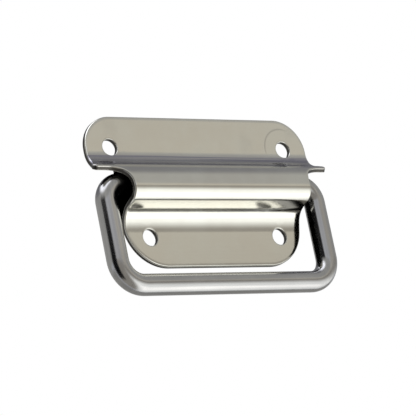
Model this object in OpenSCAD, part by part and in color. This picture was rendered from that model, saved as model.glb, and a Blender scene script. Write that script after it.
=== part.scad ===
// Chest handle: a folded sheet plate with a swinging round-rod bail.
// Millimetres. X runs along the plate, Z is up, the front faces -Y.
// The origin lies midway between the upper screw holes, on the plate's back plane.

/* [Sheet] */
// thickness of the one folded sheet
sheet_t = 1.5; // [1.2:0.1:1.8]
// radius of the two hollow bends beside the barrel, on the front face
bend_r = 4; // [3.2:0.1:4.6]

/* [Upper flange] */
// width of the flat upper flange
upper_w = 74.3; // [72:0.1:76]
// height of its top edge above the upper holes
upper_h = 9; // [7:0.1:12]
// rounding of its two top corners
upper_corner_r = 9.5; // [4:0.5:11]

/* [Ears] */
// how far the tip of an ear that stops the bail stands out beyond the upper flange's side
ear_out = 1.85; // [1.5:0.05:2.6]
// depth of an ear's front edge from the back plane
ear_reach = 7.2; // [6.8:0.1:7.6]
// rounding of an ear's tip
ear_tip_r = 1.2; // [0.8:0.1:1.6]
// radius of the hollow sweep from the upper flange's side out to an ear's tip
ear_sweep_r = 5.3; // [4:0.1:7]
// rounding of the inner corner between an ear and the barrel's end
ear_root_r = 6.5; // [5:0.5:7]
// tilt of the slope square to which the ears are cut, in degrees
trim_tilt = 45; // [43:1:47]

/* [Barrel] */
// length of the barrel that holds the rod ends
barrel_len = 59; // [54:0.5:60]
// depth of the barrel's front from the back plane
barrel_depth = 10.3; // [10.2:0.1:11]
// outside radius of the upper half of the barrel's front
nose_top_r = 8.4; // [8.2:0.1:8.8]
// outside radius of the lower half of the barrel's front
nose_low_r = 4; // [3.4:0.1:4.6]
// height of the barrel's foremost line below the upper holes
barrel_drop = 13.9; // [13.5:0.1:15]
// fall of the barrel's roof towards the front, in degrees
roof_fall = 18; // [17:1:22]
// fall of the barrel's floor towards the back, in degrees
floor_fall = 21; // [16:1:26]

/* [Lower flange] */
// height of the lower holes below the upper holes
row_gap = 26; // [25:0.5:30]
// height of the bottom edge below the lower holes
lower_h = 8.5; // [6:0.5:10]
// rounding of its two bottom corners
lower_corner_r = 12.5; // [6:0.5:13]

/* [Screw holes] */
// diameter of the four plain holes
hole_d = 4.7; // [3.5:0.1:5.2]
// spacing of the upper pair
upper_pitch = 58.5; // [50:0.5:62]
// spacing of the lower pair
lower_pitch = 43.5; // [36:0.5:46]

/* [Bail] */
// diameter of the bent rod
rod_d = 6; // [5:0.1:6]
// spacing of the two legs, axis to axis
leg_pitch = 70; // [68:0.5:74]
// distance from the swing axis to the axis of the grip bar
bail_drop = 28.7; // [28:0.1:36]
// radius of the two bends beside the grip bar, on the rod's axis
grip_bend_r = 7; // [5:0.5:10]
// radius of the two bends beside the barrel, on the rod's axis
pin_bend_r = 5.5; // [5:0.1:7]
// straight length of each turned-in end
pin_len = 10.5; // [7:0.5:18]
// chamfer of the turned-in ends
pin_chamfer = 0.6; // [0.3:0.1:1]
// gap between a turned-in end and the barrel's roof
roof_gap = 1; // [0.9:0.05:1.2]
// gap between the rod and the surface the plate is screwed to
wall_gap = 0.2; // [0.1:0.05:0.4]

/* [Hidden] */
$fn = 96;
// rounding circles are this much larger than the fillets they make, so that they cross the flats they meet
hair = 0.001;
// overlap of cutting bodies
over = 1;
// height of the barrel's foremost line, and the depth of the centres of its two arcs
nose_z = -barrel_drop;
nose_top_o = barrel_depth - nose_top_r;
nose_low_o = barrel_depth - nose_low_r;
// height of the roof and the floor at a depth, at a distance under the sheet's front face
function roof_at(o, under) =
  nose_z + (nose_top_r - under - (o - nose_top_o) * sin(roof_fall)) / cos(roof_fall);
function floor_at(o, under) =
  nose_z - (nose_low_r - under - (o - nose_low_o) * sin(floor_fall)) / cos(floor_fall);
// turn of each hollow bend and its centre in front of the flanges
roof_turn = 90 - roof_fall;
floor_turn = 90 - floor_fall;
bend_o = sheet_t + bend_r;
upper_end = roof_at(sheet_t, 0) + bend_r * tan(roof_turn / 2);
lower_end = floor_at(sheet_t, 0) - bend_r * tan(floor_turn / 2);
// edges of the flanges
top_z = upper_h;
bottom_z = -row_gap - lower_h;
// front edge of the ears on the barrel's front, and how far it lies along the slope
ear_z = nose_z + sqrt(pow(nose_top_r, 2) - pow(ear_reach - nose_top_o, 2));
ear_edge = ear_reach * cos(trim_tilt) - ear_z * sin(trim_tilt);
// width over the ears' tips
ear_span = upper_w + 2 * ear_out;
// centres of the ears' roundings, across and along the slope
tip_x = ear_span / 2 - ear_tip_r;
tip_w = ear_edge - ear_tip_r;
sweep_x = upper_w / 2 + ear_sweep_r;
sweep_w = tip_w - sqrt(pow(ear_sweep_r + ear_tip_r, 2) - pow(sweep_x - tip_x, 2));
root_x = barrel_len / 2 + ear_root_r;
root_w = ear_edge + ear_root_r;
// half the straight length of the grip bar
grip_x = leg_pitch / 2 - grip_bend_r;
// swing axis of the bail
axis_o = rod_d / 2 + wall_gap;
axis_z = roof_at(axis_o, sheet_t) - (roof_gap + rod_d / 2) / cos(roof_fall);

// corners of the hump, sharp, at a distance under the sheet's front face
function hump(under) = [
  [bend_o, upper_end],
  [bend_o - (bend_r + under) * cos(roof_turn), upper_end - (bend_r + under) * sin(roof_turn)],
  [barrel_depth - under, roof_at(barrel_depth - under, under)],
  [barrel_depth - under, floor_at(barrel_depth - under, under)],
  [bend_o - (bend_r + under) * cos(floor_turn), lower_end + (bend_r + under) * sin(floor_turn)],
  [bend_o, lower_end]
];

// what is left outside an arc of the barrel's front, above or below its foremost line
module nose_trim(r, fall, side) {
  far = 4 * nose_top_r;
  translate([barrel_depth, nose_z])
    difference() {
      translate([-r, 0])
        polygon([
          [0, 0],
          [far, 0],
          [far, side * far],
          [far * sin(fall), side * far * cos(fall)]
        ]);
      translate([-r, 0])
        circle(r = r + hair);
    }
}

// rounds the hump's two hollow bends and its front
module round_hump(under) {
  difference() {
    children();
    translate([bend_o, upper_end])
      circle(r = bend_r + under + hair);
    translate([bend_o, lower_end])
      circle(r = bend_r + under + hair);
    translate([-under, 0]) {
      nose_trim(nose_top_r - under, roof_fall, 1);
      nose_trim(nose_low_r - under, floor_fall, -1);
    }
  }
}

// section of the folded sheet: depth from the back plane across, height up
module sheet_section() {
  difference() {
    round_hump(0)
      polygon(concat(
        [[0, top_z], [sheet_t, top_z], [sheet_t, upper_end]],
        hump(0),
        [[sheet_t, lower_end], [sheet_t, bottom_z], [0, bottom_z]]
      ));
    round_hump(sheet_t)
      polygon(concat([[-over, upper_end]], hump(sheet_t), [[-over, lower_end]]));
  }
}

// body square to the ears' slope, for trimming the sheet's sides
module slope_trim() {
  rotate([90 - trim_tilt, 0, 0])
    linear_extrude(height = 6 * ear_span, center = true)
      children();
}

// everything beyond the right-hand side of the blank
module side_trim() {
  slope_trim()
    difference() {
      polygon([
        [upper_w / 2, 3 * upper_w],
        [upper_w, 3 * upper_w],
        [upper_w, -3 * upper_w],
        [barrel_len / 2, -3 * upper_w],
        [barrel_len / 2, -root_w],
        [root_x, -root_w],
        [root_x, -ear_edge],
        [tip_x, -ear_edge],
        [tip_x, -tip_w],
        [sweep_x, -sweep_w],
        [upper_w / 2, -sweep_w]
      ]);
      translate([tip_x, -tip_w])
        circle(r = ear_tip_r + hair);
    }
  slope_trim()
    translate([sweep_x, -sweep_w])
      circle(r = ear_sweep_r + hair);
  slope_trim()
    translate([root_x, -root_w])
      circle(r = ear_root_r + hair);
}

// body that trims the right angle left at a flange's corner
module corner_trim(x, z, r, up) {
  translate([x - r, 0, z - up * r])
    rotate([90, 0, 0])
      linear_extrude(height = 8 * sheet_t, center = true)
        difference() {
          translate([0, up > 0 ? 0 : -r - over])
            square(r + over);
          circle(r = r + hair);
        }
}

// bore for one screw, through the sheet
module screw_hole(x, z) {
  translate([x, 0, z])
    rotate([90, 0, 0])
      cylinder(d = hole_d, h = 8 * sheet_t, center = true);
}

module back_plate() {
  color("silver")
    difference() {
      rotate([90, 0, -90])
        linear_extrude(height = ear_span + 2 * over, center = true)
          sheet_section();
      for (side = [0, 1])
        mirror([side, 0, 0]) {
          side_trim();
          corner_trim(upper_w / 2, top_z, upper_corner_r, 1);
          corner_trim(barrel_len / 2, bottom_z, lower_corner_r, -1);
          screw_hole(upper_pitch / 2, 0);
          screw_hole(lower_pitch / 2, -row_gap);
        }
    }
}

// a quarter bend of the rod in the XZ plane, from one angle onwards
module rod_bend(r, from) {
  rotate([90, 0, 0])
    rotate(from)
      rotate_extrude(angle = 90)
        translate([r, 0])
          circle(d = rod_d);
}

// half of the bail about its swing axis: turned-in end, leg and half the grip bar
module half_bail() {
  pin_x = leg_pitch / 2 - pin_bend_r;
  translate([pin_x - pin_len + pin_chamfer, 0, 0])
    rotate([0, 90, 0])
      cylinder(d = rod_d, h = pin_len - pin_chamfer);
  translate([pin_x - pin_len, 0, 0])
    rotate([0, 90, 0])
      cylinder(d1 = rod_d - 2 * pin_chamfer, d2 = rod_d, h = pin_chamfer);
  translate([pin_x, 0, -pin_bend_r])
    rod_bend(pin_bend_r, 0);
  translate([leg_pitch / 2, 0, grip_bend_r - bail_drop])
    cylinder(d = rod_d, h = bail_drop - grip_bend_r - pin_bend_r);
  translate([grip_x, 0, grip_bend_r - bail_drop])
    rod_bend(grip_bend_r, 270);
}

module bail_handle() {
  color("gainsboro")
    translate([0, -axis_o, axis_z])
      union() {
        half_bail();
        mirror([1, 0, 0])
          half_bail();
        translate([-grip_x, 0, -bail_drop])
          rotate([0, 90, 0])
            cylinder(d = rod_d, h = 2 * grip_x);
      }
}

back_plate();
bail_handle();
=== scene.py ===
import math

import bmesh
import bpy
from mathutils import Matrix, Vector
from mathutils.geometry import delaunay_2d_cdt


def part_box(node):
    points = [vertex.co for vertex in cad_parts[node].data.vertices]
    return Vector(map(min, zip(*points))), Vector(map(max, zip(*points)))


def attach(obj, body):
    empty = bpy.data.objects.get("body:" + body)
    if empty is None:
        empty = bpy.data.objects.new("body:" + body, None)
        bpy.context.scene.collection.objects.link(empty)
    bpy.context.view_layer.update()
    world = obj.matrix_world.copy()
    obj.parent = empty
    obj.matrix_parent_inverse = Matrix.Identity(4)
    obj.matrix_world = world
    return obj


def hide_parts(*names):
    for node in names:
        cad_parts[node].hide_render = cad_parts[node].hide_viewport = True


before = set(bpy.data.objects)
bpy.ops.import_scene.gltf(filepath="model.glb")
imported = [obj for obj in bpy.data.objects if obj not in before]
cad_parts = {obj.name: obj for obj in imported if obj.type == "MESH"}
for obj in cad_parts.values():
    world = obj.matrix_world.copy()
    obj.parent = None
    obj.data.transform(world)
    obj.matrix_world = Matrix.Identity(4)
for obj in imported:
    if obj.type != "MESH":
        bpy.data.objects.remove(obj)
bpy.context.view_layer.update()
MM = 0.001

# the sheet in mm, as in the part's source; heights are from the upper holes, depths from the back plane
SHEET = 1.5
UPPER_H, LOWER_H, BOTTOM_Z = 9.0, 8.5, -34.5
UPPER_HALF, EAR_HALF, BARREL_HALF = 37.15, 39.0, 29.5
UPPER_CORNER_R, LOWER_CORNER_R = 9.5, 12.5
NOSE_Z, NOSE_TOP_R, NOSE_LOW_R, NOSE_DEPTH = -13.9, 8.4, 4.0, 10.3
FLOOR_FALL = 21
TRIM_TILT = math.radians(45)
EAR_REACH, TIP_R, SWEEP_R, ROOT_R = 7.2, 1.2, 5.3, 6.5
HOLE_R, UPPER_HOLE_X, LOWER_HOLE_X = 2.35, 29.25, 21.75
# its hollow bends, rounder than the source's plain arcs: the upper one's radius, and for the lower one
# each radius with the angles between which it turns, from the flange on
UPPER_BEND = 5.2
LOWER_BENDS = ((9.0, 162, 180), (5.4, 111, 162))
# its edges in mm: width and drop of the rolled front, reach of the rounding there; rounding at the back
ROLLED, PUNCHED = (1.0, 0.1, 0.38), (0.6, 0.05, 0.22)
BACK_ROUND = 0.15
# its mesh: degrees of a bend for each row of points, and mm between the points of a row
ROW_STEP, COLUMN_STEP, COLUMNS = 4, 3.0, 12

# the bail in mm, as in the part's source, and the rounding of its ends' edges
GRIP_BEND, PIN_BEND, PIN_LENGTH, PIN_CHAMFER = 7.0, 5.5, 10.5, 0.6
END_ROUND = 0.2
ROD_POINTS, ROD_BEND_STEPS = 64, 20


def add(tree, kind, **inputs):
    """A node, with its plain input values set by name."""
    node = tree.nodes.new(kind)
    for name, value in inputs.items():
        node.inputs[name.replace("_", " ")].default_value = value
    return node


def math_node(tree, operation, a, b=None, clamp=False):
    """A Math node fed by sockets or numbers; returns its output."""
    node = tree.nodes.new("ShaderNodeMath")
    node.operation = operation
    node.use_clamp = clamp
    for slot, value in enumerate((a, b)):
        if value is None:
            continue
        if isinstance(value, (int, float)):
            node.inputs[slot].default_value = value
        else:
            tree.links.new(value, node.inputs[slot])
    return node.outputs[0]


def product(tree, first, *others):
    """Masks or numbers multiplied; returns the output."""
    for other in others:
        first = math_node(tree, "MULTIPLY", first, other)
    return first


def length_of(tree, a, b):
    """Length of the vector with two parts; returns its output."""
    return math_node(tree, "SQRT", math_node(tree, "ADD", product(tree, a, a), product(tree, b, b)))


def ramp(tree, value, low, high, out_low=0.0, out_high=1.0):
    """Smooth step of a value between two bounds; returns its output."""
    node = tree.nodes.new("ShaderNodeMapRange")
    node.interpolation_type = "SMOOTHSTEP"
    node.inputs["From Min"].default_value = low
    node.inputs["From Max"].default_value = high
    node.inputs["To Min"].default_value = out_low
    node.inputs["To Max"].default_value = out_high
    tree.links.new(value, node.inputs["Value"])
    return node.outputs["Result"]


def mix_colour(tree, factor, a, b):
    """A colour mix fed by sockets or colours; returns its output."""
    node = tree.nodes.new("ShaderNodeMix")
    node.data_type = "RGBA"
    for name, value in (("Factor_Float", factor), ("A_Color", a), ("B_Color", b)):
        socket = next(s for s in node.inputs if s.identifier == name)
        if isinstance(value, tuple):
            socket.default_value = (*value, 1.0)
        else:
            tree.links.new(value, socket)
    return next(s for s in node.outputs if s.identifier == "Result_Color")


def mix_shader(tree, factor, first, second, out):
    """Two shaders mixed into an output's surface."""
    mix = tree.nodes.new("ShaderNodeMixShader")
    tree.links.new(factor, mix.inputs[0])
    tree.links.new(first.outputs[0], mix.inputs[1])
    tree.links.new(second.outputs[0], mix.inputs[2])
    tree.links.new(mix.outputs[0], out.inputs["Surface"])


def group(name, inputs, outputs):
    """An empty shader node group with its float or vector sockets."""
    tree = bpy.data.node_groups.new(name, "ShaderNodeTree")
    for label, kind in inputs:
        tree.interface.new_socket(label, in_out="INPUT", socket_type=kind)
    for label, kind in outputs:
        tree.interface.new_socket(label, in_out="OUTPUT", socket_type=kind)
    return tree, tree.nodes.new("NodeGroupInput"), tree.nodes.new("NodeGroupOutput")


def use(tree, shared, where):
    """A group's node, fed with the position."""
    node = tree.nodes.new("ShaderNodeGroup")
    node.node_tree = shared
    tree.links.new(where, node.inputs["Position"])
    return node


def noise(tree, vector, scale, detail=2.0, rough=0.5):
    node = add(tree, "ShaderNodeTexNoise", Scale=scale, Detail=detail, Roughness=rough)
    tree.links.new(vector, node.inputs["Vector"])
    return node.outputs["Fac"]


def stretched(tree, vector, scale):
    node = tree.nodes.new("ShaderNodeVectorMath")
    node.operation = "MULTIPLY"
    node.inputs[1].default_value = scale
    tree.links.new(vector, node.inputs[0])
    return node.outputs[0]


def split(tree, vector):
    """The three parts of a vector."""
    parts = tree.nodes.new("ShaderNodeSeparateXYZ")
    tree.links.new(vector, parts.inputs[0])
    return parts.outputs["X"], parts.outputs["Y"], parts.outputs["Z"]


# soft clouds left by polishing: slow change of tone and gloss over centimetres
cloud_group, gin, gout = group(
    "PolishClouds", [("Position", "NodeSocketVector")], [("Clouds", "NodeSocketFloat")]
)
broad = noise(cloud_group, gin.outputs[0], 55.0, 3.0)
close = noise(cloud_group, gin.outputs[0], 240.0, 2.0)
summed = math_node(
    cloud_group, "ADD", product(cloud_group, broad, 0.7), product(cloud_group, close, 0.3)
)
cloud_group.links.new(ramp(cloud_group, summed, 0.34, 0.66), gout.inputs[0])

# hair-fine lines, drawn out along one axis by the scale given to them
line_group, gin, gout = group(
    "FineLines",
    [("Position", "NodeSocketVector"), ("Stretch", "NodeSocketVector")],
    [("Lines", "NodeSocketFloat")],
)
drawn = line_group.nodes.new("ShaderNodeVectorMath")
drawn.operation = "MULTIPLY"
line_group.links.new(gin.outputs[0], drawn.inputs[0])
line_group.links.new(gin.outputs[1], drawn.inputs[1])
line_group.links.new(noise(line_group, drawn.outputs[0], 1.0, 3.0, 0.6), gout.inputs[0])

# sparse handling smudges: dull patches with soft edges
smudge_group, gin, gout = group(
    "Smudges", [("Position", "NodeSocketVector")], [("Smudge", "NodeSocketFloat")]
)
patch = noise(smudge_group, gin.outputs[0], 95.0, 4.0, 0.62)
smudge_group.links.new(ramp(smudge_group, patch, 0.56, 0.72), gout.inputs[0])


def steel(name, base, tint, rough, lines_at, bump, marks=None):
    """Polished stainless steel: clouded tone, fine lines, smudges and a faint bump."""
    cloud_dull, smudge_dull, line_height = 0.05, 0.05, 0.05 * MM
    material = bpy.data.materials.new(name)
    material.use_nodes = True
    tree = material.node_tree
    tree.nodes.clear()
    out = add(tree, "ShaderNodeOutputMaterial")
    shader = add(tree, "ShaderNodeBsdfPrincipled", Metallic=1.0)
    tree.links.new(shader.outputs[0], out.inputs["Surface"])
    where = add(tree, "ShaderNodeTexCoord").outputs["Object"]
    clouds = use(tree, cloud_group, where)
    lines = use(tree, line_group, where)
    lines.inputs["Stretch"].default_value = lines_at
    smudge = use(tree, smudge_group, where)
    colour = mix_colour(tree, clouds.outputs[0], base, tint)
    dull = product(tree, smudge.outputs[0], smudge_dull)
    gloss = product(tree, clouds.outputs[0], cloud_dull)
    gloss = math_node(tree, "ADD", math_node(tree, "ADD", gloss, dull), rough)
    if marks:
        colour, gloss = marks(tree, where, colour, gloss)
    tree.links.new(colour, shader.inputs["Base Color"])
    tree.links.new(gloss, shader.inputs["Roughness"])
    relief = add(tree, "ShaderNodeBump", Strength=bump, Distance=line_height)
    tree.links.new(lines.outputs[0], relief.inputs["Height"])
    tree.links.new(relief.outputs[0], shader.inputs["Normal"])
    return material


def plate_marks(tree, where, colour, gloss):
    """A faint arc worn round the upper right hole, and painted shade over the upper hollow bend, darker and
    bluish, with the press's streaks in it.
    """
    arc_r, arc_colour = 6.2 * MM, (0.36, 0.35, 0.33)
    # streak_colour here is the bluish painted shade of the hollow bend, its streaks and all
    streak_stretch, streak_colour = (12.0, 1900.0, 1900.0), (0.335, 0.33, 0.395)
    x, y, z = split(tree, where)
    # the arc, on the hole's upper left, on the front face only
    dx = math_node(tree, "SUBTRACT", x, UPPER_HOLE_X * MM)
    off = math_node(tree, "ABSOLUTE", math_node(tree, "SUBTRACT", length_of(tree, dx, z), arc_r))
    ring = ramp(tree, off, 0.05 * MM, 0.4 * MM, 1.0, 0.0)
    side = math_node(tree, "SUBTRACT", z, product(tree, dx, 0.9))
    front = ramp(tree, y, -1.3 * MM, -1.45 * MM)
    arc = product(tree, ring, ramp(tree, side, 2.5 * MM, 6.5 * MM), front)
    colour = mix_colour(tree, product(tree, arc, 0.3), colour, arc_colour)
    gloss = math_node(tree, "ADD", gloss, product(tree, arc, 0.08))
    # painted shade between the upper flange and the barrel's front: the hollow bend is darkened at half
    # strength throughout, and at full strength in the press's streaks
    bend = product(tree, ramp(tree, z, -1.5 * MM, -2.9 * MM), ramp(tree, z, -8.6 * MM, -5.6 * MM))
    streaks = noise(tree, stretched(tree, where, streak_stretch), 1.0)
    bend_shade_and_streaks = product(tree, bend, ramp(tree, streaks, 0.4, 0.6, 0.5, 1.0))
    colour = mix_colour(tree, bend_shade_and_streaks, colour, streak_colour)
    return colour, math_node(tree, "ADD", gloss, product(tree, bend, 0.06))


def rod_marks(tree, where, colour, gloss):
    """Streaks of the drawn rod: along the grip bar, and down the legs."""
    along, across, streak_colour = 25.0, 1100.0, (0.36, 0.36, 0.37)
    x, _, _ = split(tree, where)
    bar = noise(tree, stretched(tree, where, (along, across, across)), 1.0)
    leg = noise(tree, stretched(tree, where, (across, across, along)), 1.0)
    side = ramp(tree, math_node(tree, "ABSOLUTE", x), 28.0 * MM, 33.0 * MM)
    middle = math_node(tree, "SUBTRACT", 1.0, side)
    streak = math_node(tree, "ADD", product(tree, leg, side), product(tree, bar, middle))
    streak = ramp(tree, streak, 0.36, 0.64)
    colour = mix_colour(tree, product(tree, streak, 0.3), colour, streak_colour)
    return colour, math_node(tree, "ADD", gloss, product(tree, streak, 0.04))


plate_steel = steel(
    "plate_steel", (0.745, 0.733, 0.675), (0.795, 0.795, 0.737), 0.13,
    (30.0, 900.0, 900.0), 0.10, plate_marks,
)
rod_steel = steel(
    "rod_steel", (0.52, 0.52, 0.517), (0.58, 0.58, 0.577), 0.14,
    (700.0, 700.0, 700.0), 0.05, rod_marks,
)
# the sheared faces of the blank's edge and of the punched holes: duller and lined through the sheet, and
# near black with painted shade
cut_steel_with_painted_shade = steel(
    "cut_steel_with_painted_shade", (0.06, 0.057, 0.053), (0.13, 0.125, 0.115), 0.36, (2600.0, 260.0, 2600.0), 0.5
)


def into_scene(bm, name, *materials):
    """A mesh as an object of the scene."""
    mesh = bpy.data.meshes.new(name)
    bm.to_mesh(mesh)
    bm.free()
    for material in materials:
        mesh.materials.append(material)
    piece = bpy.data.objects.new(name, mesh)
    bpy.context.scene.collection.objects.link(piece)
    return piece


def finish_piece(bm, name, materials, body, node, normals=None):
    """Puts a mesh into the scene in place of a CAD node."""
    bmesh.ops.recalc_face_normals(bm, faces=bm.faces[:])
    for face in bm.faces:
        face.smooth = True
    piece = into_scene(bm, name, *materials)
    if normals:
        piece.data.normals_split_custom_set_from_vertices(normals)
    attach(piece, body)
    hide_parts(node)


class Fold:
    """The plate's section as a strip: from a length down its front face to a point and a normal, in mm."""

    def __init__(self):
        self.runs = []
        self.length = 0.0

    def line(self, start, end, normal):
        self.runs.append((self.length, "line", start, end, normal))
        self.length += math.dist(start, end)

    def arc(self, centre, radius, first, last, side):
        """side is 1 where the front face is on the outside of the bend, -1 where it is inside it."""
        self.runs.append((self.length, "arc", centre, radius, (first, last, side)))
        self.length += radius * math.radians(abs(last - first))

    def at(self, along):
        """Depth, height and normal at a length from the top edge."""
        begin, kind, a, b, c = next(
            run for run in reversed(self.runs) if along >= run[0] or run is self.runs[0]
        )
        if kind == "line":
            share = (along - begin) / math.dist(a, b)
            return a[0] + (b[0] - a[0]) * share, a[1] + (b[1] - a[1]) * share, c[0], c[1]
        first, last, side = c
        angle = math.radians(first) + math.copysign((along - begin) / b, last - first)
        ray = (math.cos(angle), math.sin(angle))
        return a[0] + b * ray[0], a[1] + b * ray[1], side * ray[0], side * ray[1]

    def rows(self):
        """Lengths that follow the bends in steps, and the ends of each run."""
        found = []
        for begin, kind, _, radius, turn in self.runs:
            found.append(begin)
            if kind == "arc":
                count = math.ceil(abs(turn[1] - turn[0]) / ROW_STEP)
                arc = radius * math.radians(abs(turn[1] - turn[0]))
                found += [begin + arc * i / count for i in range(1, count)]
        return found + [self.length]


def plate_fold():
    """The folded sheet: upper flange, hollow bend, barrel front, floor, hollow bend, lower flange.

    Its lower bend eases off towards the flange, as a pressed sheet's does.
    """
    fold = Fold()
    nose_top_o, nose_low_o = NOSE_DEPTH - NOSE_TOP_R, NOSE_DEPTH - NOSE_LOW_R
    # the upper bend runs straight into the barrel's front
    over = SHEET + UPPER_BEND - nose_top_o
    upper_end = NOSE_Z + math.sqrt((UPPER_BEND + NOSE_TOP_R) ** 2 - over ** 2)
    meet = math.degrees(math.acos(over / (UPPER_BEND + NOSE_TOP_R)))
    fold.line((SHEET, UPPER_H), (SHEET, upper_end), (1, 0))
    fold.arc((SHEET + UPPER_BEND, upper_end), UPPER_BEND, 180, 180 + meet, -1)
    fold.arc((nose_top_o, NOSE_Z), NOSE_TOP_R, meet, 0, 1)
    fold.arc((nose_low_o, NOSE_Z), NOSE_LOW_R, 0, FLOOR_FALL - 90, 1)
    # the lower bend, laid out from the flange back to the floor, and then moved to where the floor meets it
    spot, eased = (SHEET, 0.0), []
    for radius, first, last in LOWER_BENDS:
        start, end = ((math.cos(math.radians(t)), math.sin(math.radians(t))) for t in (last, first))
        centre = (spot[0] - radius * start[0], spot[1] - radius * start[1])
        eased.append((centre, radius, first, last))
        spot = (centre[0] + radius * end[0], centre[1] + radius * end[1])
    leave = fold.at(fold.length)
    fall = math.tan(math.radians(FLOOR_FALL))
    lower_end = leave[1] - (leave[0] - spot[0]) * fall - spot[1]
    fold.line(leave[:2], (spot[0], spot[1] + lower_end), leave[2:])
    for (o, z), radius, first, last in reversed(eased):
        fold.arc((o, z + lower_end), radius, first, last, -1)
    fold.line((SHEET, lower_end), (SHEET, BOTTOM_Z), (1, 0))
    return fold


def arc_points(centre, radius, first, last, count):
    """Points along an arc, both ends among them."""
    turns = [math.radians(first + (last - first) * i / count) for i in range(count + 1)]
    return [(centre[0] + radius * math.cos(a), centre[1] + radius * math.sin(a)) for a in turns]


def blank_outline(fold):
    """The blank's edge, laid flat: points across and along the strip, each with its outward direction."""
    # the ears end a little past the start of the barrel's lower arc
    farthest = fold.runs[3][0] + 3.0
    # no row's point comes this near to a corner or an ear
    clear, corner_clear = 0.1, 0.4

    def along(slope):
        """Length down the strip where it is so far along the slope that the ears are cut square to."""
        low, high = 0.0, farthest
        for _ in range(50):
            middle = (low + high) / 2
            depth, height, _, _ = fold.at(middle)
            if depth * math.cos(TRIM_TILT) - height * math.sin(TRIM_TILT) < slope:
                low = middle
            else:
                high = middle
        return low

    ear_z = NOSE_Z + math.sqrt(NOSE_TOP_R ** 2 - (EAR_REACH - NOSE_DEPTH + NOSE_TOP_R) ** 2)
    edge = EAR_REACH * math.cos(TRIM_TILT) - ear_z * math.sin(TRIM_TILT)
    tip = (EAR_HALF - TIP_R, edge - TIP_R)
    sweep_x = UPPER_HALF + SWEEP_R
    sweep = (sweep_x, tip[1] - math.sqrt((SWEEP_R + TIP_R) ** 2 - (sweep_x - tip[0]) ** 2))
    root = (BARREL_HALF + ROOT_R, edge + ROOT_R)
    meet = math.degrees(math.atan2(sweep[1] - tip[1], sweep[0] - tip[0]))
    slopes = arc_points(sweep, SWEEP_R, 180, 180 + meet, 14) + arc_points(tip, TIP_R, meet, 90, 14)[1:]
    slopes += arc_points(root, ROOT_R, -90, -180, 24)
    ear = [(x, along(w)) for x, w in slopes]

    rows, bottom = fold.rows(), fold.length
    top_flat, bottom_flat = UPPER_HALF - UPPER_CORNER_R, BARREL_HALF - LOWER_CORNER_R
    above = (UPPER_CORNER_R + corner_clear, ear[0][1] - clear)
    below = (ear[-1][1] + clear, bottom - LOWER_CORNER_R - corner_clear)
    right = [(top_flat * i / 14, 0.0) for i in range(14)]
    right += arc_points((top_flat, UPPER_CORNER_R), UPPER_CORNER_R, -90, 0, 24)
    right += [(UPPER_HALF, s) for s in rows if above[0] < s < above[1]] + ear
    right += [(BARREL_HALF, s) for s in rows if below[0] < s < below[1]]
    right += arc_points((bottom_flat, bottom - LOWER_CORNER_R), LOWER_CORNER_R, 0, 90, 28)
    right += [(bottom_flat * i / 9, bottom) for i in range(8, -1, -1)]
    loop = right + [(-x, s) for x, s in reversed(right[1:-1])]
    outline = []
    for i, (x, s) in enumerate(loop):
        before, after = loop[i - 1], loop[(i + 1) % len(loop)]
        one, two = math.dist(before, (x, s)), math.dist((x, s), after)
        dx = (x - before[0]) / one * two + (after[0] - x) / two * one
        ds = (s - before[1]) / one * two + (after[1] - s) / two * one
        size = math.hypot(dx, ds)
        outline.append((x, s, ds / size, -dx / size))
    return outline


def hole_outline(x, s, radius, count=64):
    """A punched hole's edge, laid flat, with the direction out of the sheet."""
    turns = [2 * math.pi * i / count for i in range(count)]
    return [(x + radius * math.cos(a), s + radius * math.sin(a), -math.cos(a), -math.sin(a)) for a in turns]


def edge_profile(width, depth, round_at):
    """From the front face over a rolled edge, down the cut face and round to the back face.

    Each step is how far out it lies, how high, the lean of its normal, and whether the cut face follows it.
    """
    roll_steps, round_steps, back_steps = 6, 5, 4
    steps = []
    for i in range(roll_steps + 1):
        d = width - (width - round_at) * i / roll_steps
        rolled = 1 - d / width
        steps.append((-d, -depth * rolled ** 2, math.atan(2 * depth / width * rolled), False))
    drop, lean = -steps[-1][1], steps[-1][2]
    radius = round_at / (1 - math.sin(lean))
    low = -drop - radius * math.cos(lean)
    for i in range(1, round_steps + 1):
        a = lean + (math.pi / 2 - lean) * i / round_steps
        steps.append((radius * (math.sin(a) - 1), low + radius * math.cos(a), a, i == round_steps))
    for i in range(back_steps + 1):
        a = math.pi / 2 * (1 + i / back_steps)
        height = BACK_ROUND - SHEET + BACK_ROUND * math.cos(a)
        steps.append((BACK_ROUND * (math.sin(a) - 1), height, a, False))
    return steps


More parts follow.
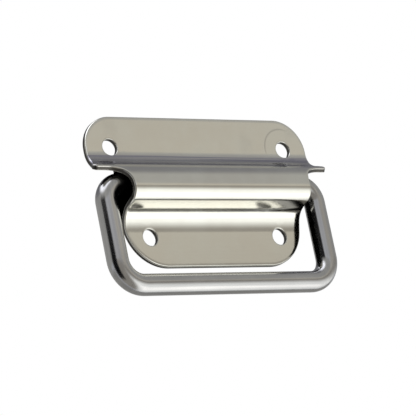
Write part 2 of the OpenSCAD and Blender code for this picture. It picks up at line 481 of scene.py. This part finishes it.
def folded_plate():
    """The sheet as it is made: a blank with rolled front edges and punched holes, folded."""
    edge_clear, hole_clear = 0.5, 0.4
    fold = plate_fold()
    bm = bmesh.new()
    leans = []

    def point(x, s, height, lean=0.0, out=(0.0, 0.0)):
        """A point of the sheet, so high over its front face; its normal leans outwards."""
        depth, z, n_depth, n_z = fold.at(s)
        face = Vector((0, -n_depth, n_z))
        side = Vector((out[0], -n_z * out[1], -n_depth * out[1]))
        leans.append((face * math.cos(lean) + side * math.sin(lean)).normalized())
        return bm.verts.new(Vector((x, -depth - height * n_depth, z + height * n_z)) * MM)

    def wall(outline, profile):
        """Rings of points along an edge, joined; returns the front and back ring with their flat places."""
        rings, flat = [], []
        for out, height, lean, _ in profile:
            places = [(x + out * mx, s + out * ms) for x, s, mx, ms in outline]
            rings.append([
                point(*place, height, lean, edge[2:]) for place, edge in zip(places, outline)
            ])
            flat.append(places)
        count = len(outline)
        for k in range(len(rings) - 1):
            for i in range(count):
                j = (i + 1) % count
                face = bm.faces.new((rings[k][i], rings[k][j], rings[k + 1][j], rings[k + 1][i]))
                face.material_index = 1 if profile[k][3] else 0
        return (rings[0], flat[0]), (rings[-1], flat[-1])

    def fill(loops, height, lean, holes):
        """A face of the sheet between its rings, the border's first, with points that follow the bends."""
        verts, flat, edges, owner = [], [], [], []
        for number, (ring, places) in enumerate(loops):
            first = len(verts)
            verts += ring
            flat += places
            owner += [number] * len(ring)
            edges += [(first + i, first + (i + 1) % len(ring)) for i in range(len(ring))]
        border = loops[0][1]
        for s in fold.rows()[1:-1]:
            across = sorted(
                a[0] + (b[0] - a[0]) * (s - a[1]) / (b[1] - a[1])
                for a, b in zip(border, border[1:] + border[:1]) if (a[1] <= s) != (b[1] <= s)
            )
            for column in range(-COLUMNS, COLUMNS + 1):
                x = column * COLUMN_STEP
                inside = len(across) > 1 and across[0] + edge_clear < x < across[-1] - edge_clear
                if inside and all(math.dist((x, s), h[:2]) > h[2] + hole_clear for h in holes):
                    verts.append(point(x, s, height, lean))
                    flat.append((x, s))
                    owner.append(-1)
        got = delaunay_2d_cdt([Vector(p) for p in flat], edges, [], 1, 1e-7)
        for face in got[2]:
            corners = [got[3][i][0] for i in face]
            rings = {owner[i] for i in corners}
            in_hole = len(rings) == 1 and rings.pop() > 0
            if not in_hole:
                bm.faces.new([verts[i] for i in corners])

    places = ((UPPER_HOLE_X, UPPER_H), (LOWER_HOLE_X, fold.length - LOWER_H))
    holes = [(side * x, s, HOLE_R) for x, s in places for side in (1, -1)]
    walls = [wall(blank_outline(fold), edge_profile(*ROLLED))]
    walls += [wall(hole_outline(*hole), edge_profile(*PUNCHED)) for hole in holes]
    fronts, backs = zip(*walls)
    fill(fronts, 0.0, 0.0, [(x, s, r + PUNCHED[0]) for x, s, r in holes])
    fill(backs, -SHEET, math.pi, [(x, s, r + BACK_ROUND) for x, s, r in holes])
    finish_piece(bm, "plate_sheet", (plate_steel, cut_steel_with_painted_shade), "plate", "back_plate", leans)


def bent_rod():
    """The bail as one rod: turned-in end, four bends, and the other end."""
    low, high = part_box("bail_handle")
    rod = (high.y - low.y) / 2
    axis_y, axis_z = (low.y + high.y) / 2, high.z - rod
    half, bar_z = high.x - rod, low.z + rod
    bend, pin_bend, pin, chamfer = (v * MM for v in (GRIP_BEND, PIN_BEND, PIN_LENGTH, PIN_CHAMFER))
    inner, pin_x = half - bend, half - pin_bend
    quarter, sharp = math.pi / 2, math.radians(30)
    bm = bmesh.new()
    turn = Matrix.Translation((-(pin_x - pin), axis_y, axis_z)) @ Matrix.Rotation(quarter, 4, "Y")
    made = bmesh.ops.create_circle(
        bm, cap_ends=True, segments=ROD_POINTS, radius=rod - chamfer, matrix=turn
    )
    ring = list({e for v in made["verts"] for e in v.link_edges})

    def move(ring, by, scale=1.0):
        """Draws the rod on by a straight length; returns its new end."""
        got = bmesh.ops.extrude_edge_only(bm, edges=ring)["geom"]
        verts = [g for g in got if isinstance(g, bmesh.types.BMVert)]
        bmesh.ops.translate(bm, verts=verts, vec=by)
        if scale != 1.0:
            centre = sum((v.co for v in verts), Vector()) / len(verts)
            bmesh.ops.scale(
                bm, verts=verts, vec=(1.0, scale, scale), space=Matrix.Translation(-centre)
            )
        return [g for g in got if isinstance(g, bmesh.types.BMEdge)]

    def turn_at(ring, centre):
        """Draws the rod on round a quarter bend; returns its new end."""
        got = bmesh.ops.spin(
            bm, geom=ring, cent=centre, axis=(0, 1, 0), dvec=(0, 0, 0), angle=-quarter,
            steps=ROD_BEND_STEPS, use_merge=False, use_duplicate=False,
        )["geom_last"]
        return [g for g in got if isinstance(g, bmesh.types.BMEdge)]

    straight = (axis_z - pin_bend) - (bar_z + bend)
    ring = move(ring, (-chamfer, 0, 0), rod / (rod - chamfer))
    ring = move(ring, (-(pin - chamfer), 0, 0))
    ring = turn_at(ring, (-pin_x, axis_y, axis_z - pin_bend))
    ring = move(ring, (0, 0, -straight))
    ring = turn_at(ring, (-inner, axis_y, bar_z + bend))
    ring = move(ring, (2 * inner, 0, 0))
    ring = turn_at(ring, (inner, axis_y, bar_z + bend))
    ring = move(ring, (0, 0, straight))
    ring = turn_at(ring, (pin_x, axis_y, axis_z - pin_bend))
    ring = move(ring, (-(pin - chamfer), 0, 0))
    ring = move(ring, (-chamfer, 0, 0), (rod - chamfer) / rod)
    bmesh.ops.edgeloop_fill(bm, edges=ring)
    ends = [e for e in bm.edges if e.calc_face_angle(0) > sharp]
    bmesh.ops.bevel(
        bm, geom=ends, offset=END_ROUND * MM, offset_type="OFFSET", segments=3, profile=0.5,
        affect="EDGES", clamp_overlap=True, material=-1,
    )
    finish_piece(bm, "bail_rod", (rod_steel,), "bail", "bail_handle")


folded_plate()
bent_rod()


def stage_material(name):
    """An empty material; returns it with its tree and its output."""
    material = bpy.data.materials.new(name)
    material.use_nodes = True
    tree = material.node_tree
    tree.nodes.clear()
    return material, tree, add(tree, "ShaderNodeOutputMaterial")


def seen_or_mirrored(tree):
    """1 for rays from the camera, from a mirror or through glass, else 0."""
    path = tree.nodes.new("ShaderNodeLightPath").outputs
    mirrored = math_node(tree, "MAXIMUM", path["Is Glossy Ray"], path["Is Transmission Ray"])
    return math_node(tree, "MAXIMUM", path["Is Camera Ray"], mirrored)


def studio_floor():
    """A pale round floor under the part."""
    radius, height, whiteness = 1.9, -0.3, 0.7
    material, tree, out = stage_material("floor_paper")
    paper = add(tree, "ShaderNodeBsdfDiffuse", Color=(0.9, 0.9, 0.9, 1.0))
    white = add(tree, "ShaderNodeEmission", Color=(1.0, 1.0, 1.0, 1.0), Strength=1.0)
    mix_shader(tree, product(tree, seen_or_mirrored(tree), whiteness), paper, white, out)
    bm = bmesh.new()
    bmesh.ops.create_circle(
        bm, cap_ends=True, segments=96, radius=radius, matrix=Matrix.Translation((0, 0, height))
    )
    floor = into_scene(bm, "studio_floor", material)
    floor.visible_glossy = False


def studio_tent():
    """A tent round the part, unseen by the camera, whose panels the metal mirrors."""
    radius = 2.0
    screen_x, screen_y = -0.914, -0.407
    overhead = (-0.27, -0.08, 0.96)
    material, tree, out = stage_material("tent_panels")
    glow = add(tree, "ShaderNodeEmission", Strength=1.0)
    tree.links.new(glow.outputs[0], out.inputs["Surface"])
    where = add(tree, "ShaderNodeTexCoord").outputs["Object"]
    unit = stretched(tree, where, (1 / radius,) * 3)
    x, y, z = split(tree, unit)
    rise = math_node(tree, "ADD", z, product(tree, y, 0.35))
    across = math_node(tree, "ADD", product(tree, x, screen_x), product(tree, y, screen_y))
    flat = math_node(tree, "ADD", length_of(tree, x, y), 0.001)
    screen = math_node(tree, "DIVIDE", across, flat)
    aim = tree.nodes.new("ShaderNodeVectorMath")
    aim.operation = "DOT_PRODUCT"
    aim.inputs[1].default_value = overhead
    tree.links.new(unit, aim.inputs[0])

    def zone(*bounds):
        """Where every value lies past its bounds."""
        return product(tree, *(ramp(tree, *bound) for bound in bounds))

    # plain grey, warmer in front on the right
    warm = zone((y, -0.2, -0.7), (x, -0.1, 0.5))
    panels = mix_colour(tree, warm, (0.58, 0.59, 0.63), (0.60, 0.565, 0.50))
    for part, colour in (
        # greyer above, a dark roof overhead, and a dark panel behind on the right
        (zone((rise, 0.04, 0.12)), (0.44, 0.435, 0.42)),
        (zone((rise, 0.58, 0.84)), (0.235, 0.235, 0.25)),
        (zone((y, 0.2, 0.6), (z, 0.05, 0.2), (x, 0.1, 0.4)), (0.20, 0.20, 0.215)),
        # dim seam between the front panel and the ground
        (zone((z, 0.24, 0.17), (y, 0.1, -0.1)), (0.36, 0.338, 0.305)),
        # black screen on the left, towards the camera: a wedge round azimuth -66
        (zone((screen, 0.89, 0.945), (z, 0.60, 0.28), (z, -0.75, -0.6)), (0.005, 0.005, 0.006)),
        # dim ground behind, white ground in front on the right, and the brightest part of that
        (zone((z, -0.1, -0.3), (y, 0.0, 0.3)), (0.36, 0.355, 0.34)),
        (zone((z, 0.10, -0.42), (y, 0.2, 0.0), (x, -0.1, 0.15)), (1.31, 1.32, 1.29)),
        (zone((z, -0.5, -0.68), (y, -0.1, -0.3), (x, 0.1, 0.3)), (1.85, 1.83, 1.78)),
        # soft light overhead, left of the middle
        (zone((aim.outputs["Value"], 0.80, 0.95)), (1.95, 1.97, 2.1)),
    ):
        panels = mix_colour(tree, part, panels, colour)
    tree.links.new(panels, glow.inputs["Color"])
    bm = bmesh.new()
    bmesh.ops.create_icosphere(bm, subdivisions=4, radius=radius)
    tent = into_scene(bm, "studio_tent", material)
    tent.visible_camera = False


def card(name, corners, level=0.0, camera=False, first=0, last=99):
    """A small card beside the part, unseen from behind: black, to stop light as painted shade, or white, to
    give some.

    It stops the camera's rays if it is told to, and reflections from the first to the last bounce given.
    """
    material, tree, out = stage_material(name + "_paper")
    tone = add(tree, "ShaderNodeEmission", Color=(1.0, 1.0, 1.0, 1.0), Strength=level)
    clear = add(tree, "ShaderNodeBsdfTransparent")
    path = tree.nodes.new("ShaderNodeLightPath").outputs
    early = math_node(tree, "LESS_THAN", path["Glossy Depth"], first - 0.5)
    late = math_node(tree, "GREATER_THAN", path["Glossy Depth"], last + 0.5)
    passed = math_node(tree, "MAXIMUM", early, late)
    passed = math_node(tree, "SUBTRACT", passed, path["Is Camera Ray"], clamp=True)
    behind = add(tree, "ShaderNodeNewGeometry").outputs["Backfacing"]
    mix_shader(tree, math_node(tree, "MAXIMUM", behind, passed), tone, clear, out)
    bm = bmesh.new()
    bm.faces.new([bm.verts.new(Vector(corner) * MM) for corner in corners])
    piece = into_scene(bm, name, material)
    piece.visible_camera = camera
    piece.visible_shadow = False


def studio_cards():
    """The cards, in mm: depths o are from the back plane, towards the front."""
    end_x, gap_x, barrel_end, behind = -28.9, -23.0, 29.3, 0.5
    # black across the barrel's left end, round the rod: painted shade inside the barrel, seen by the camera
    end = (
        (0.3, -5.2), (4.2, -6.3), (6.5, -8.2), (8.2, -10.8), (9.0, -13.9), (8.2, -16.4), (5.0, -18.6),
        (0.3, -20.2),
    )
    card("end_card", [(end_x, -o, z) for o, z in reversed(end)], camera=True)
    # black behind that end, for the camera alone: painted shade seen through the barrel
    gap = ((end_x, -21.5), (gap_x, -21.5), (gap_x, -8.0), (end_x, -8.0))
    card("gap_card", [(x, behind, z) for x, z in gap], camera=True, last=0)
    # black behind the barrel's length, for what the metal inside mirrors twice: painted shade in the
    # barrel's inner reflections
    barrel = ((gap_x, -21.5), (barrel_end, -21.5), (barrel_end, -4.0), (gap_x, -4.0))
    card("barrel_card", [(x, behind, z) for x, z in barrel], first=2)
    # white, beside the upper flange's left edge
    rim = ((8.0, -5.0), (3.3, -5.0), (3.3, 9.0), (8.0, 9.0))
    card("rim_card", [(-40.0, -o, z) for o, z in rim], 1.2)
    # black beside the right leg, towards it: painted shade that the leg mirrors
    leg = ((4.4, -36.0), (-4.0, -36.0), (-4.0, -12.5), (4.4, -12.5))
    card("leg_card", [(30.9, -o, z) for o, z in leg])
    # black in front of the plate's right edge, along its rounding, towards the plate: painted shadow that
    # the rounding mirrors as a dark band
    edge = (
        (barrel_end, -20.5), (barrel_end, -21.2), (29.0, -24.2), (28.6, -26.2), (28.0, -28.2),
        (26.9, -30.2), (25.6, -31.5), (32.1, -31.5), (32.1, -20.5),
    )
    card("edge_card", [(x, -4.0, z) for x, z in reversed(edge)], last=1)
    # black under the left ear's slope: painted shade of the ear, which the bail's bend mirrors
    ear_z, ear_slope = -6.45, 0.298
    ear = ((-29.5, 0.5), (-29.5, 5.2), (-34.5, 5.2), (-37.0, 4.2), (-38.3, 2.4), (-38.3, 0.5))
    card("ear_card", [(x, -o, ear_z - ear_slope * o) for x, o in ear])


def soft_lamp():
    """A square lamp overhead, unseen by the camera and by the metal."""
    at, aim = Vector((-0.2, -0.3, 1.0)), Vector((0.0, -0.004, -0.017))
    data = bpy.data.lights.new("lamp_overhead", "AREA")
    data.shape = "SQUARE"
    data.size = 0.5
    data.energy = 4.0
    lamp = bpy.data.objects.new("lamp_overhead", data)
    lamp.location = at
    lamp.rotation_mode = "QUATERNION"
    lamp.rotation_quaternion = (aim - at).to_track_quat("-Z", "Y")
    bpy.context.scene.collection.objects.link(lamp)
    lamp.visible_camera = False
    lamp.visible_glossy = False


def white_world():
    """A white background that lights the part only dimly."""
    world = bpy.data.worlds.new("studio")
    bpy.context.scene.world = world
    world.use_nodes = True
    tree = world.node_tree
    tree.nodes.clear()
    out = add(tree, "ShaderNodeOutputWorld")
    plain = add(tree, "ShaderNodeBackground", Color=(0.5, 0.5, 0.5, 1.0), Strength=0.5)
    white = add(tree, "ShaderNodeBackground", Color=(1.0, 1.0, 1.0, 1.0), Strength=1.0)
    mix_shader(tree, seen_or_mirrored(tree), plain, white, out)


def photo_camera():
    """The photograph's view, from the left and a little below."""
    azimuth, elevation, roll = (math.radians(a) for a in (-36.65456, -15.8742, -11.45942))
    focal, photo_width, sensor = 2695.6193, 416, 36.0
    distance, shift_right, shift_up, aim = 0.74682829, 0.00100083, -0.00377646, (0, 0, -0.013)
    back = Vector((
        math.sin(azimuth) * math.cos(elevation),
        -math.cos(azimuth) * math.cos(elevation),
        math.sin(elevation),
    ))
    level = Vector((math.cos(azimuth), math.sin(azimuth), 0.0))
    rise = back.cross(level)
    right = level * math.cos(roll) + rise * math.sin(roll)
    up = rise * math.cos(roll) - level * math.sin(roll)
    data = bpy.data.cameras.new("photo_camera")
    data.sensor_width = sensor
    data.lens = sensor * focal / photo_width
    data.clip_start = 0.01
    data.clip_end = 20.0
    camera = bpy.data.objects.new("photo_camera", data)
    place = back * distance + right * shift_right + up * shift_up + Vector(aim)
    camera.matrix_world = Matrix((
        (right.x, up.x, back.x, place.x),
        (right.y, up.y, back.y, place.y),
        (right.z, up.z, back.z, place.z),
        (0, 0, 0, 1),
    ))
    bpy.context.scene.collection.objects.link(camera)
    bpy.context.scene.camera = camera


studio_floor()
studio_tent()
soft_lamp()
studio_cards()
white_world()
photo_camera()
bpy.context.scene.view_settings.view_transform = "Standard"
